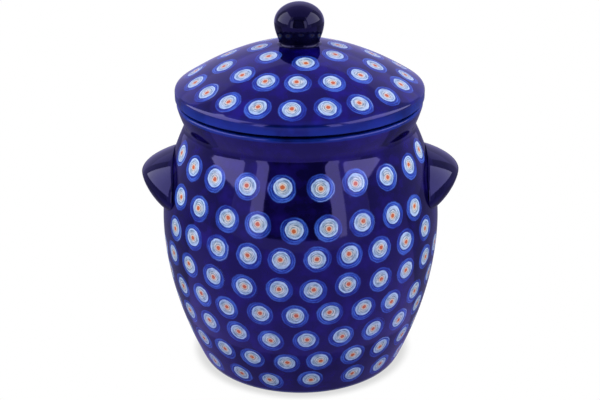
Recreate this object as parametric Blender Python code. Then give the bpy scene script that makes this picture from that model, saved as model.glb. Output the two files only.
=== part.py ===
"""Lidded stoneware jar: a round-bellied jar with a flared collar, two solid lug handles,
a domed lid that rests on the rim, and a ball knob. Metres, +Z up. The origin is the centre
of the foot on the table, and the lugs lie on the X axis."""

import math

import bmesh
import bpy

# Gap between touching pieces
SEAT_GAP = 0.0003

# Jar, outside
FOOT_RADIUS = 0.0686
FOOT_EDGE_RADIUS = 0.0014
BELLY_RADIUS = 0.0917
BELLY_HEIGHT = 0.0974
SHOULDER_RISE = 0.0665
CREASE_RADIUS = 0.0746
CREASE_SOFTNESS = 0.0026
COLLAR_RISE = 0.0158
RIM_RADIUS = 0.0794
RIM_EDGE_RADIUS = 0.0022
BELLY_CURVE_SHARE = 1.93

# Jar, foot ring and inside
FOOT_RING_WIDTH = 0.0080
FOOT_RECESS = 0.0020
WALL = 0.0065
FLOOR_THICKNESS = 0.0080
FLOOR_CORNER = 0.0110
COLLAR_WALL = 0.0080
RIM_INNER_EDGE_RADIUS = 0.0016

# Lid
FLANGE_CLEARANCE = 0.0016
FLANGE_DEPTH = 0.0120
FLANGE_WALL = 0.0050
SEAT_MARGIN = 0.0017
LID_OVERHANG = 0.0009
LID_GROOVE = 0.0031
LID_EDGE_HEIGHT = 0.0064
LID_UPPER_EDGE_RADIUS = 0.0022
LID_LOWER_EDGE_RADIUS = 0.0016
LID_WALL = 0.0066
DOME_RISE = 0.0277
DOME_CORNER = 0.0060
DOME_CURVE_SHARE = 1.85

# Knob
KNOB_NECK_RADIUS = 0.0120
KNOB_RADIUS = 0.0159
KNOB_RISE = 0.0123
KNOB_CROWN = 0.0128
KNOB_FLANK_SHARE = 1.8

# Lug handles
LUG_RISE = 0.0223
LUG_REACH = 0.0128
LUG_ROOT_INSET = 0.0113
LUG_HALF_WIDTH = 0.0373
LUG_TOP = 0.0266
LUG_UNDERSIDE = 0.0147
LUG_TIP_LIFT = 0.0121
LUG_PLAN_SHARE = 1.46
LUG_TOP_SHARES = (1.25, 0.77)
LUG_UNDERSIDE_SHARES = (1.83, 0.65)
LUG_LIFT_SHARE = 1.37
LUG_ROUNDNESS_SHARE = 1.2

# Facets
TURN_STEPS = 60
KNOB_TURN_STEPS = 36
LUG_TURN_STEPS = 32
BELLY_STEPS = 7
SHOULDER_STEPS = 6
DOME_STEPS = 8
EDGE_STEPS = 3
KNOB_FLANK_STEPS = 5
KNOB_CROWN_STEPS = 7
LUG_STEPS = 9
SMOOTH_ANGLE = math.radians(40)

# Heights and radii that follow from the sizes above
CREASE_HEIGHT = BELLY_HEIGHT + SHOULDER_RISE
RIM_HEIGHT = CREASE_HEIGHT + COLLAR_RISE
COLLAR_LEAN = math.atan2(RIM_RADIUS - CREASE_RADIUS, COLLAR_RISE - RIM_EDGE_RADIUS)
FOOT_LEAN = math.atan2((BELLY_RADIUS - FOOT_RADIUS) * BELLY_CURVE_SHARE, BELLY_HEIGHT)
THROAT_RADIUS = min(CREASE_RADIUS - WALL, RIM_RADIUS - COLLAR_WALL)
FLANGE_RADIUS = THROAT_RADIUS - FLANGE_CLEARANCE
LID_RADIUS = RIM_RADIUS + LID_OVERHANG
SEAT_RADIUS = RIM_RADIUS - RIM_EDGE_RADIUS - SEAT_MARGIN
DOME_LEAN = math.atan2(DOME_RISE * DOME_CURVE_SHARE, LID_RADIUS)
DOME_RADIUS = LID_RADIUS - LID_UPPER_EDGE_RADIUS * (1 - math.sin(DOME_LEAN))
DOME_TOP = LID_GROOVE + LID_EDGE_HEIGHT + DOME_RISE

RIGHT_ANGLE = math.pi / 2
FULL_TURN = 2 * math.pi


def arc(radius, height, size, start, end, steps=EDGE_STEPS):
    """Points on a round edge of the given size about (radius, height), from start to end."""
    points = []
    for step in range(steps + 1):
        angle = start + (end - start) * step / steps
        points.append((radius + size * math.cos(angle), height + size * math.sin(angle)))
    return points


def bend(before, corner, after, steps=EDGE_STEPS):
    """A soft corner: a parabola from before to after that heads for the corner."""
    points = []
    for step in range(steps + 1):
        t = step / steps
        weights = ((1 - t) ** 2, 2 * t * (1 - t), t ** 2)
        points.append(tuple(
            weights[0] * a + weights[1] * b + weights[2] * c
            for a, b, c in zip(before, corner, after)
        ))
    return points


def belly_radius(height):
    """Outer radius of the belly: full at the belly line, falling away below and above it."""
    if height < BELLY_HEIGHT:
        share = (BELLY_HEIGHT - height) / BELLY_HEIGHT
        end_radius = FOOT_RADIUS
    else:
        share = (height - BELLY_HEIGHT) / SHOULDER_RISE
        end_radius = CREASE_RADIUS
    return BELLY_RADIUS - (BELLY_RADIUS - end_radius) * share ** BELLY_CURVE_SHARE


def belly_points(low, high):
    """Belly points from low to high, split at the belly line."""
    heights = [low + (BELLY_HEIGHT - low) * i / BELLY_STEPS for i in range(BELLY_STEPS)]
    heights += [BELLY_HEIGHT + (high - BELLY_HEIGHT) * i / SHOULDER_STEPS for i in range(SHOULDER_STEPS + 1)]
    return [(belly_radius(height), height) for height in heights]


def outer_wall():
    """Outside of the jar from the foot's edge up to the rim's flat top."""
    edge_top = FOOT_EDGE_RADIUS * (1 - math.sin(FOOT_LEAN))
    edge_centre = belly_radius(edge_top) - FOOT_EDGE_RADIUS * math.cos(FOOT_LEAN)
    foot_edge = arc(edge_centre, FOOT_EDGE_RADIUS, FOOT_EDGE_RADIUS, -RIGHT_ANGLE, -FOOT_LEAN)

    below_crease = CREASE_HEIGHT - CREASE_SOFTNESS
    belly = belly_points(edge_top, below_crease)

    above_crease = (CREASE_RADIUS + CREASE_SOFTNESS * math.tan(COLLAR_LEAN), CREASE_HEIGHT + CREASE_SOFTNESS)
    crease = bend(belly[-1], (CREASE_RADIUS, CREASE_HEIGHT), above_crease)

    rim_edge = arc(RIM_RADIUS - RIM_EDGE_RADIUS, RIM_HEIGHT - RIM_EDGE_RADIUS, RIM_EDGE_RADIUS,
                   -COLLAR_LEAN, RIGHT_ANGLE)
    return foot_edge[:-1] + belly[:-1] + crease + rim_edge


def inner_wall():
    """Inside of the jar from the rim's flat top down to the middle of the floor."""
    mouth_radius = RIM_RADIUS - COLLAR_WALL
    rim_edge = arc(mouth_radius + RIM_INNER_EDGE_RADIUS, RIM_HEIGHT - RIM_INNER_EDGE_RADIUS,
                   RIM_INNER_EDGE_RADIUS, RIGHT_ANGLE, math.pi)

    inner_lean = math.atan2(mouth_radius - THROAT_RADIUS, COLLAR_RISE - RIM_INNER_EDGE_RADIUS)
    above_throat = (THROAT_RADIUS + CREASE_SOFTNESS * math.tan(inner_lean), CREASE_HEIGHT + CREASE_SOFTNESS)
    below_throat = (belly_radius(CREASE_HEIGHT - CREASE_SOFTNESS) - WALL, CREASE_HEIGHT - CREASE_SOFTNESS)
    throat = bend(above_throat, (THROAT_RADIUS, CREASE_HEIGHT), below_throat)

    corner_top = FLOOR_THICKNESS + FLOOR_CORNER
    belly = [(radius - WALL, height) for radius, height in belly_points(corner_top, below_throat[1])]
    belly.reverse()
    floor_edge = belly_radius(FLOOR_THICKNESS) - WALL
    corner = bend(belly[-1], (floor_edge, FLOOR_THICKNESS), (floor_edge - FLOOR_CORNER, FLOOR_THICKNESS))
    return rim_edge + throat + belly[1:-1] + corner + [(0, FLOOR_THICKNESS)]


def jar_outline():
    """Half section of the jar, from the middle of the underside round to the floor's middle."""
    ring_inner = FOOT_RADIUS - FOOT_RING_WIDTH
    underside = [(0, FOOT_RECESS), (ring_inner - FOOT_RECESS, FOOT_RECESS), (ring_inner, 0)]
    return underside + outer_wall() + inner_wall()


def dome_height(radius):
    """Height of the lid's top above its seat."""
    return DOME_TOP - DOME_RISE * (radius / DOME_RADIUS) ** DOME_CURVE_SHARE


def lid_outline():
    """Half section of the lid about its seat, from the middle of the underside to the top."""
    flange_inner = FLANGE_RADIUS - FLANGE_WALL
    hollow_edge = flange_inner - DOME_CORNER
    hollow = []
    for step in range(DOME_STEPS):
        radius = hollow_edge * step / DOME_STEPS
        hollow.append((radius, dome_height(radius) - LID_WALL))
    hollow_corner = bend(
        (hollow_edge, dome_height(hollow_edge) - LID_WALL),
        (flange_inner, dome_height(flange_inner) - LID_WALL),
        (flange_inner, dome_height(flange_inner) - LID_WALL - DOME_CORNER),
    )

    half_wall = FLANGE_WALL / 2
    flange_end = arc(FLANGE_RADIUS - half_wall, half_wall - FLANGE_DEPTH, half_wall,
                     -math.pi, 0, 2 * EDGE_STEPS)
    seat = [(FLANGE_RADIUS, 0), (SEAT_RADIUS, 0)]

    lower_edge = arc(LID_RADIUS - LID_LOWER_EDGE_RADIUS, LID_GROOVE + LID_LOWER_EDGE_RADIUS,
                     LID_LOWER_EDGE_RADIUS, -RIGHT_ANGLE, 0)
    dome_edge = LID_GROOVE + LID_EDGE_HEIGHT
    upper_edge = arc(LID_RADIUS - LID_UPPER_EDGE_RADIUS,
                     dome_edge - LID_UPPER_EDGE_RADIUS * math.cos(DOME_LEAN),
                     LID_UPPER_EDGE_RADIUS, 0, RIGHT_ANGLE - DOME_LEAN)

    dome = []
    for step in range(1, DOME_STEPS + 1):
        radius = DOME_RADIUS * (1 - step / DOME_STEPS)
        dome.append((radius, dome_height(radius)))
    return hollow + hollow_corner + flange_end + seat + lower_edge + upper_edge + dome


def knob_outline():
    """Half section of the knob above the top of the dome, from the middle of its base."""
    base = []
    for step in range(EDGE_STEPS):
        radius = KNOB_NECK_RADIUS * step / EDGE_STEPS
        base.append((radius, dome_height(radius) - DOME_TOP))
    neck_height = dome_height(KNOB_NECK_RADIUS) - DOME_TOP
    flank = []
    for step in range(KNOB_FLANK_STEPS):
        t = step / KNOB_FLANK_STEPS
        swell = 1 - (1 - t) ** KNOB_FLANK_SHARE
        radius = KNOB_NECK_RADIUS + (KNOB_RADIUS - KNOB_NECK_RADIUS) * swell
        flank.append((radius, neck_height + (KNOB_RISE - neck_height) * t))
    crown = []
    for step in range(KNOB_CROWN_STEPS + 1):
        angle = RIGHT_ANGLE * step / KNOB_CROWN_STEPS
        crown.append((KNOB_RADIUS * math.cos(angle), KNOB_RISE + KNOB_CROWN * math.sin(angle)))
    return base + flank + crown


def lug_section(s):
    """One rounded section of the lug, at share s of the way from its root to its tip."""
    reach = LUG_ROOT_INSET + LUG_REACH
    x = BELLY_RADIUS - LUG_ROOT_INSET + reach * s
    half_width = LUG_HALF_WIDTH * math.sqrt(1 - s ** LUG_PLAN_SHARE)
    top = LUG_TOP * (1 - s ** LUG_TOP_SHARES[0]) ** LUG_TOP_SHARES[1]
    underside = LUG_UNDERSIDE * (1 - s ** LUG_UNDERSIDE_SHARES[0]) ** LUG_UNDERSIDE_SHARES[1]
    middle = LUG_TIP_LIFT * s ** LUG_LIFT_SHARE
    points = []
    for step in range(LUG_TURN_STEPS):
        angle = FULL_TURN * step / LUG_TURN_STEPS
        rise = math.sin(angle)
        if rise > 0:
            z = middle + top * rise ** LUG_ROUNDNESS_SHARE
        else:
            z = middle + underside * rise
        points.append((x, half_width * math.cos(angle), z))
    return points


def add_object(name, shape, location=(0, 0, 0), parent=None):
    """Put a finished bmesh into the scene as one smooth-shaded object."""
    bmesh.ops.recalc_face_normals(shape, faces=shape.faces)
    mesh = bpy.data.meshes.new(name)
    shape.to_mesh(mesh)
    shape.free()
    mesh.shade_smooth()
    mesh.set_sharp_from_angle(angle=SMOOTH_ANGLE)
    piece = bpy.data.objects.new(name, mesh)
    piece.location = location
    piece.parent = parent
    bpy.context.scene.collection.objects.link(piece)
    return piece


def turned(outline, steps):
    """A solid turned about Z from a half section whose two ends lie on the axis."""
    shape = bmesh.new()
    verts = [shape.verts.new((radius, 0, height)) for radius, height in outline]
    edges = [shape.edges.new(pair) for pair in zip(verts[:-1], verts[1:])]
    bmesh.ops.spin(shape, geom=verts + edges, axis=(0, 0, 1), cent=(0, 0, 0), angle=FULL_TURN, steps=steps)
    bmesh.ops.remove_doubles(shape, verts=shape.verts, dist=SEAT_GAP / steps)
    return shape


def lug_shape():
    """The lug lofted from root to tip, with its root run back towards the jar's axis."""
    shape = bmesh.new()
    root = lug_section(0)
    sections = [[(CREASE_RADIUS / 2, y, z) for x, y, z in root]]
    for step in range(LUG_STEPS):
        sections.append(lug_section(1 - (1 - step / LUG_STEPS) ** 2))
    rings = [[shape.verts.new(point) for point in section] for section in sections]
    for ring, after in zip(rings[:-1], rings[1:]):
        for i in range(LUG_TURN_STEPS):
            j = (i + 1) % LUG_TURN_STEPS
            shape.faces.new((ring[i], ring[j], after[j], after[i]))
    shape.faces.new(rings[0])
    tip = shape.verts.new((BELLY_RADIUS + LUG_REACH, 0, LUG_TIP_LIFT))
    for i in range(LUG_TURN_STEPS):
        shape.faces.new((rings[-1][i], rings[-1][(i + 1) % LUG_TURN_STEPS], tip))
    return shape


def add_material(piece, colour, roughness):
    """A glossy or bare ceramic surface."""
    material = bpy.data.materials.new(piece.name)
    material.use_nodes = True
    shader = material.node_tree.nodes["Principled BSDF"]
    shader.inputs["Base Color"].default_value = (*colour, 1)
    shader.inputs["Roughness"].default_value = roughness
    shader.inputs["Metallic"].default_value = 0
    piece.data.materials.append(material)


def build_jar():
    """The thrown jar, from foot ring to rim."""
    jar = add_object("jar_body", turned(jar_outline(), TURN_STEPS))
    add_material(jar, (0.010, 0.008, 0.110), 0.08)
    return jar


def build_belly_cutter():
    """The jar's outside, moved out by the seat gap, which scribes the lugs to the belly."""
    wall = [(radius + SEAT_GAP, height) for radius, height in outer_wall()]
    outline = [(0, wall[0][1])] + wall + [(0, wall[-1][1])]
    cutter = add_object("belly_cutter", turned(outline, TURN_STEPS))
    cutter.hide_render = True
    cutter.display_type = 'WIRE'
    return cutter


def build_lug(name, turn, cutter):
    """One lug, turned about the jar's axis to its side and scribed to the belly."""
    lug = add_object(name, lug_shape(), location=(0, 0, BELLY_HEIGHT + LUG_RISE))
    lug.rotation_euler = (0, 0, turn)
    scribe = lug.modifiers.new("scribe_to_belly", 'BOOLEAN')
    scribe.operation = 'DIFFERENCE'
    scribe.solver = 'EXACT'
    scribe.object = cutter
    add_material(lug, (0.006, 0.005, 0.060), 0.08)
    return lug


def build_lid():
    """The lid, whose origin is on the lift axis in the plane of its seat."""
    lid = add_object("lid", turned(lid_outline(), TURN_STEPS), location=(0, 0, RIM_HEIGHT + SEAT_GAP))
    add_material(lid, (0.010, 0.008, 0.110), 0.08)
    return lid


def build_knob(lid):
    """The knob, seated on the top of the dome and carried by the lid."""
    knob = add_object("lid_knob", turned(knob_outline(), KNOB_TURN_STEPS),
                      location=(0, 0, DOME_TOP + SEAT_GAP), parent=lid)
    add_material(knob, (0.004, 0.003, 0.045), 0.08)
    return knob


def main():
    for old in list(bpy.data.objects):
        bpy.data.objects.remove(old, do_unlink=True)
    build_jar()
    cutter = build_belly_cutter()
    build_lug("handle_right", 0, cutter)
    build_lug("handle_left", math.pi, cutter)
    lid = build_lid()
    build_knob(lid)


main()
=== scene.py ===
"""Looks of the lidded stoneware jar. Finely turned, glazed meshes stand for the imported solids:
the jar and the lid with their stamped eye dots, two plain dark lugs and the ball knob.
A pale floor, two soft lamps, the cards that the glaze mirrors and the camera complete the
studio. Metres, +Z up, and the camera looks along +Y. Angles round the jar start at the
camera's side and grow to the right."""

import math
import random

import bpy
import numpy as np
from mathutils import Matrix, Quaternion, Vector


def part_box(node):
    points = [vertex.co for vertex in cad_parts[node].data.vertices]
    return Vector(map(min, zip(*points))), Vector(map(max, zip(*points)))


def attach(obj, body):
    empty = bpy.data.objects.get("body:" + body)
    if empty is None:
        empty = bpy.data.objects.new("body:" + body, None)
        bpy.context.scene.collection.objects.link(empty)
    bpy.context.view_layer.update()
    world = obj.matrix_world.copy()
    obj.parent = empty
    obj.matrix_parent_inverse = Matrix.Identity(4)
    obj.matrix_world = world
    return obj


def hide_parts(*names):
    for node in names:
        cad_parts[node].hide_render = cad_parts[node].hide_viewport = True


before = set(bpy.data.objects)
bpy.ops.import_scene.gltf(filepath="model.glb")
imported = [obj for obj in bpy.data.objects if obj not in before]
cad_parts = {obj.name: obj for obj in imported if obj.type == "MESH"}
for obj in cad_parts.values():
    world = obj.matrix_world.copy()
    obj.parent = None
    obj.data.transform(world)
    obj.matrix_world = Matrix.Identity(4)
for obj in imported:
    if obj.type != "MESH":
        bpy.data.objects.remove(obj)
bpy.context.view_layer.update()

MM = 0.001
SAME_PLACE = 0.01 * MM
RIGHT_ANGLE = math.pi / 2
FULL_TURN = 2 * math.pi

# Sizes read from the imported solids
jar_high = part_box("jar_body")[1]
lid_low, lid_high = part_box("lid")
knob_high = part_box("lid_knob")[1]
RIM_HEIGHT = jar_high.z
BELLY_RADIUS = jar_high.x
LID_RADIUS = lid_high.x
KNOB_RADIUS = knob_high.x
LUG_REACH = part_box("handle_right")[1].x - BELLY_RADIUS

# Jar, as in the solids but for its finer rim edge
SEAT_GAP = 0.3 * MM
FOOT_RADIUS = 68.6 * MM
FOOT_EDGE_RADIUS = 1.4 * MM
BELLY_HEIGHT = 97.4 * MM
SHOULDER_RISE = 66.5 * MM
CREASE_RADIUS = 74.6 * MM
CREASE_SOFTNESS = 2.6 * MM
RIM_RADIUS = 79.4 * MM
RIM_EDGE_RADIUS = 1.5 * MM
BELLY_CURVE_SHARE = 1.93
FOOT_RING_WIDTH = 8.0 * MM
FOOT_RECESS = 2.0 * MM
WALL = 6.5 * MM
FLOOR_THICKNESS = 8.0 * MM
FLOOR_CORNER = 11.0 * MM
COLLAR_WALL = 8.0 * MM
RIM_INNER_EDGE_RADIUS = 1.6 * MM

# Lid, as in the solids but for its shallower groove and its edges
FLANGE_CLEARANCE = 1.6 * MM
FLANGE_WALL = 5.0 * MM
SEAT_MARGIN = 2.4 * MM
LID_GROOVE = 1.6 * MM
LID_EDGE_HEIGHT = 7.9 * MM
LID_UPPER_EDGE_RADIUS = 3.0 * MM
LID_LOWER_EDGE_RADIUS = 1.2 * MM
LID_WALL = 6.6 * MM
DOME_RISE = 27.7 * MM
DOME_CORNER = 6.0 * MM
DOME_CURVE_SHARE = 1.85

# Knob and lugs, as in the solids
KNOB_NECK_RADIUS = 12.0 * MM
KNOB_RISE = 12.3 * MM
KNOB_FLANK_SHARE = 1.8
LUG_RISE = 22.3 * MM
LUG_ROOT_INSET = 11.3 * MM
LUG_HALF_WIDTH = 37.3 * MM
LUG_TOP = 26.6 * MM
LUG_UNDERSIDE = 14.7 * MM
LUG_TIP_LIFT = 12.1 * MM
LUG_PLAN_SHARE = 1.46
LUG_TOP_SHARES = (1.25, 0.77)
LUG_UNDERSIDE_SHARES = (1.83, 0.65)
LUG_LIFT_SHARE = 1.37
LUG_ROUNDNESS_SHARE = 1.2

# What the solids leave out: glaze that has run into the joints, the lugs' pressed seams and
# the collar's faint swell
KNOB_FILLET = 2.4 * MM
LUG_SEAM = 2.0 * MM
LUG_PINCH = 0.9 * MM
BURIED = 1.2 * MM
SEAT_GLAZE = 2.0 * MM
COLLAR_SWELL = 0.25 * MM

# How thin the glaze lies on the edges, from 0 to 1
FOOT_THINNESS = 0.7
RIM_EDGE_THINNESS = 0.7
RIM_TOP_THINNESS = 0.3
LID_BAND_THINNESS = 0.8
LID_CORNER_THINNESS = 0.5
DOME_EDGE_THINNESS = 0.15

# Fineness of the meshes. The collar's and the knob's steps are shares of their rise.
TURN_STEPS = 288
KNOB_TURN_STEPS = 96
LUG_TURN_STEPS = 96
LUG_STEPS = 30
EDGE_STEPS = 6
BELLY_STEP = 2.0 * MM
COLLAR_STEP = 0.08
KNOB_STEP = 0.06
KNOB_CROWN_STEP = math.radians(5)
JOINT_HALVINGS = 30
SMOOTH_ANGLE = math.radians(40)

# Heights and radii that follow
CREASE_HEIGHT = BELLY_HEIGHT + SHOULDER_RISE
COLLAR_RISE = RIM_HEIGHT - CREASE_HEIGHT
COLLAR_LEAN = math.atan2(RIM_RADIUS - CREASE_RADIUS, COLLAR_RISE - RIM_EDGE_RADIUS)
FOOT_LEAN = math.atan2((BELLY_RADIUS - FOOT_RADIUS) * BELLY_CURVE_SHARE, BELLY_HEIGHT)
THROAT_RADIUS = min(CREASE_RADIUS - WALL, RIM_RADIUS - COLLAR_WALL)
FLANGE_RADIUS = THROAT_RADIUS - FLANGE_CLEARANCE
SEAT_RADIUS = RIM_RADIUS - RIM_EDGE_RADIUS - SEAT_MARGIN
SEAT_HEIGHT = RIM_HEIGHT + SEAT_GAP
FLANGE_DEPTH = SEAT_HEIGHT - lid_low.z
DOME_LEAN = math.atan2(DOME_RISE * DOME_CURVE_SHARE, LID_RADIUS)
DOME_RADIUS = LID_RADIUS - LID_UPPER_EDGE_RADIUS * (1 - math.sin(DOME_LEAN))
DOME_TOP = LID_GROOVE + LID_EDGE_HEIGHT + DOME_RISE
LUG_HEIGHT = BELLY_HEIGHT + LUG_RISE

# Rows of eye dots. For each row where it runs, and for the dots that the camera sees the angle
# and how far each is stamped above its row, or outside it on the lid, in millimetres. Round the
# back each row goes on at its own mean spacing.
BODY_ROWS = (
    (149.7 * MM, ((-70, 2.5), (-55, 0.5), (-40, -0.5), (-23, -1), (-7.5, 0), (8.5, -0.5), (24.5, 0.5),
                  (40.5, -0.5), (57, 0), (71.5, 3))),
    (127.2 * MM, ((-59.5, 2.5), (-45.5, 2), (-30.5, 1), (-17, 1), (-2.5, -1.5), (11, -1), (25, -0.5),
                  (40, -1), (53.5, -2.5))),
    (107.8 * MM, ((-61, 0.5), (-47.5, 1.5), (-34, 1), (-20.5, 0), (-7.5, -1), (6, -0.5), (19, 0.5),
                  (32, 0), (45.5, -1), (60, -0.5))),
    (87.2 * MM, ((-50.5, 1.5), (-36.5, 1), (-22.5, -1), (-8.5, 0), (4.5, -0.5), (18, 1), (32.5, 0),
                 (46.5, -1))),
    (68.7 * MM, ((-44.5, 2), (-31.5, -1), (-16.5, -0.5), (-2.5, -0.5), (11.5, 0.5), (25.5, 0.5),
                 (39.5, -1), (55, -3))),
    (49.6 * MM, ((-43, 1.5), (-27.5, 0.5), (-13, -1.5), (2, -0.5), (17, 0.5), (32, 0.5), (47, -1))),
    (30.9 * MM, ((-38, 0.5), (-23, -0.5), (-7, -1.5), (8, 0.5), (24, 1.5), (39, 0.5))),
    (13.1 * MM, ((-32.5, -1), (-16, -1.5), (4.5, 1), (26.5, 0.5), (44, -1))),
)
LID_ROWS = (
    (29.5 * MM, ((-92, -4), (-44.5, -2), (6.5, 1.5), (52.5, -1.5), (96, -4))),
    (49.6 * MM, ((-104, -2.5), (-73, -0.5), (-45.5, -1), (-24, 0.5), (-1.5, 0), (22.5, 1.5),
                 (47.5, 0.5), (73, 0), (101, -1.5))),
    (69.7 * MM, ((-95, -2), (-75, -2), (-56.5, -1.5), (-38.5, 0), (-21, 0), (-4, 0), (13.5, 0),
                 (31, 0), (50, -0.5), (68.5, -1.5), (85, -1.5), (102, -3))),
)

# How far a dot reaches, how far the angles and shifts at the back may scatter, and the mark
# where no dot is near
DOT_REACH = 8.8 * MM
DOT_JITTER = (math.radians(1.2), 1.5 * MM)
NO_DOT = (99.0, 99.0, 0.0)
SEED = 7


def arc(radius, height, size, start, end, steps=EDGE_STEPS):
    """Points on a round edge of the given size about (radius, height), from start to end."""
    angles = [start + (end - start) * step / steps for step in range(steps + 1)]
    return [(radius + size * math.cos(a), height + size * math.sin(a)) for a in angles]


def bend(before, corner, after, steps=EDGE_STEPS):
    """A soft corner: a parabola from before to after that heads for the corner."""
    points = []
    for step in range(steps + 1):
        t = step / steps
        weights = ((1 - t) ** 2, 2 * t * (1 - t), t ** 2)
        points.append(tuple(
            weights[0] * a + weights[1] * b + weights[2] * c
            for a, b, c in zip(before, corner, after)
        ))
    return points


def between(low, high, step):
    """Evenly spaced values from low to high, no further apart than step."""
    count = math.ceil(abs(high - low) / step)
    return [low + (high - low) * i / count for i in range(count + 1)]


def belly_radius(height):
    """Outer radius of the belly: full at the belly line, falling away below and above it."""
    if height < BELLY_HEIGHT:
        share = (BELLY_HEIGHT - height) / BELLY_HEIGHT
        end_radius = FOOT_RADIUS
    else:
        share = (height - BELLY_HEIGHT) / SHOULDER_RISE
        end_radius = CREASE_RADIUS
    return BELLY_RADIUS - (BELLY_RADIUS - end_radius) * share ** BELLY_CURVE_SHARE


def dome_height(radius):
    """Height of the lid's top above its seat."""
    return DOME_TOP - DOME_RISE * (radius / DOME_RADIUS) ** DOME_CURVE_SHARE


def joined(*stretches):
    """One outline of (radius, height, finish, thinness) from stretches of points."""
    outline = []
    for points, finish, thin in stretches:
        for radius, height in points:
            if not outline or math.dist(outline[-1][:2], (radius, height)) >= SAME_PLACE:
                outline.append((radius, height, finish, thin))
    return outline


def jar_outline():
    """Half section of the jar, from the middle of the underside round to the floor's middle."""
    ring_inner = FOOT_RADIUS - FOOT_RING_WIDTH
    underside = [(0, FOOT_RECESS), (ring_inner - FOOT_RECESS, FOOT_RECESS), (ring_inner, 0)]

    edge_top = FOOT_EDGE_RADIUS * (1 - math.sin(FOOT_LEAN))
    edge_centre = belly_radius(edge_top) - FOOT_EDGE_RADIUS * math.cos(FOOT_LEAN)
    foot_edge = arc(edge_centre, FOOT_EDGE_RADIUS, FOOT_EDGE_RADIUS, -RIGHT_ANGLE, -FOOT_LEAN)

    below_crease = CREASE_HEIGHT - CREASE_SOFTNESS
    above_crease = CREASE_HEIGHT + CREASE_SOFTNESS
    belly = [(belly_radius(h), h) for h in between(edge_top, below_crease, BELLY_STEP)]
    foot_of_collar = CREASE_RADIUS + CREASE_SOFTNESS * math.tan(COLLAR_LEAN)
    crease = bend(belly[-1], (CREASE_RADIUS, CREASE_HEIGHT), (foot_of_collar, above_crease))
    rim_edge = arc(RIM_RADIUS - RIM_EDGE_RADIUS, RIM_HEIGHT - RIM_EDGE_RADIUS, RIM_EDGE_RADIUS,
                   -COLLAR_LEAN, RIGHT_ANGLE)
    collar = []
    for t in between(0, 1, COLLAR_STEP)[1:-1]:
        swell = COLLAR_SWELL * 4 * t * (1 - t)
        radius = foot_of_collar + (rim_edge[0][0] - foot_of_collar) * t + swell
        collar.append((radius, above_crease + (rim_edge[0][1] - above_crease) * t))

    rim_top = [(SEAT_RADIUS, RIM_HEIGHT), (SEAT_RADIUS - SEAT_GLAZE, RIM_HEIGHT)]
    mouth_radius = RIM_RADIUS - COLLAR_WALL
    inner_edge = arc(mouth_radius + RIM_INNER_EDGE_RADIUS, RIM_HEIGHT - RIM_INNER_EDGE_RADIUS,
                     RIM_INNER_EDGE_RADIUS, RIGHT_ANGLE, math.pi)
    inner_lean = math.atan2(mouth_radius - THROAT_RADIUS, COLLAR_RISE - RIM_INNER_EDGE_RADIUS)
    throat_top = (THROAT_RADIUS + CREASE_SOFTNESS * math.tan(inner_lean), above_crease)
    corner_top = FLOOR_THICKNESS + FLOOR_CORNER
    inside = [(belly_radius(h) - WALL, h) for h in between(below_crease, corner_top, 2 * BELLY_STEP)]
    throat = bend(throat_top, (THROAT_RADIUS, CREASE_HEIGHT), inside[0])
    floor_edge = belly_radius(FLOOR_THICKNESS) - WALL
    floor = [(r, FLOOR_THICKNESS) for r in between(floor_edge - FLOOR_CORNER, 0, 4 * BELLY_STEP)]
    corner = bend(inside[-1], (floor_edge, FLOOR_THICKNESS), floor[0])

    return joined(
        (underside + foot_edge[:2], "bare", 0),
        (foot_edge[2:], "glaze", FOOT_THINNESS),
        (belly + crease + collar, "glaze", 0),
        (rim_edge[:-1], "glaze", RIM_EDGE_THINNESS),
        (rim_edge[-1:] + rim_top, "glaze", RIM_TOP_THINNESS),
        (inner_edge[:1], "bare", 0),
        (inner_edge[1:] + throat + inside + corner + floor, "lining", 0),
    )


def lid_outline():
    """Half section of the lid about its seat, from the middle of the underside to the top."""
    flange_inner = FLANGE_RADIUS - FLANGE_WALL
    hollow_edge = flange_inner - DOME_CORNER
    hollow = [(r, dome_height(r) - LID_WALL) for r in between(0, hollow_edge, 2 * BELLY_STEP)]
    corner_top = dome_height(flange_inner) - LID_WALL
    hollow_corner = bend(hollow[-1], (flange_inner, corner_top),
                         (flange_inner, corner_top - DOME_CORNER))
    half_wall = FLANGE_WALL / 2
    flange_end = arc(FLANGE_RADIUS - half_wall, half_wall - FLANGE_DEPTH, half_wall,
                     -math.pi, 0, 2 * EDGE_STEPS)
    seat = [(FLANGE_RADIUS, 0), (SEAT_RADIUS - SEAT_GLAZE, 0)]
    groove = [(SEAT_RADIUS, 0)]

    lower_edge = arc(LID_RADIUS - LID_LOWER_EDGE_RADIUS, LID_GROOVE + LID_LOWER_EDGE_RADIUS,
                     LID_LOWER_EDGE_RADIUS, -RIGHT_ANGLE, 0)
    dome_edge = LID_GROOVE + LID_EDGE_HEIGHT
    upper_edge = arc(LID_RADIUS - LID_UPPER_EDGE_RADIUS,
                     dome_edge - LID_UPPER_EDGE_RADIUS * math.cos(DOME_LEAN),
                     LID_UPPER_EDGE_RADIUS, 0, RIGHT_ANGLE - DOME_LEAN)
    dome = [(r, dome_height(r)) for r in between(DOME_RADIUS, 0, BELLY_STEP)]

    outline = joined(
        (hollow + hollow_corner, "lining", 0),
        (flange_end + seat, "bare", 0),
        (groove + lower_edge, "glaze", LID_BAND_THINNESS),
        (upper_edge[:2], "glaze", LID_CORNER_THINNESS),
        (upper_edge[2:], "glaze", DOME_EDGE_THINNESS),
        (dome, "glaze", 0),
    )
    return [(radius, SEAT_HEIGHT + height, finish, thin) for radius, height, finish, thin in outline]


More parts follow.
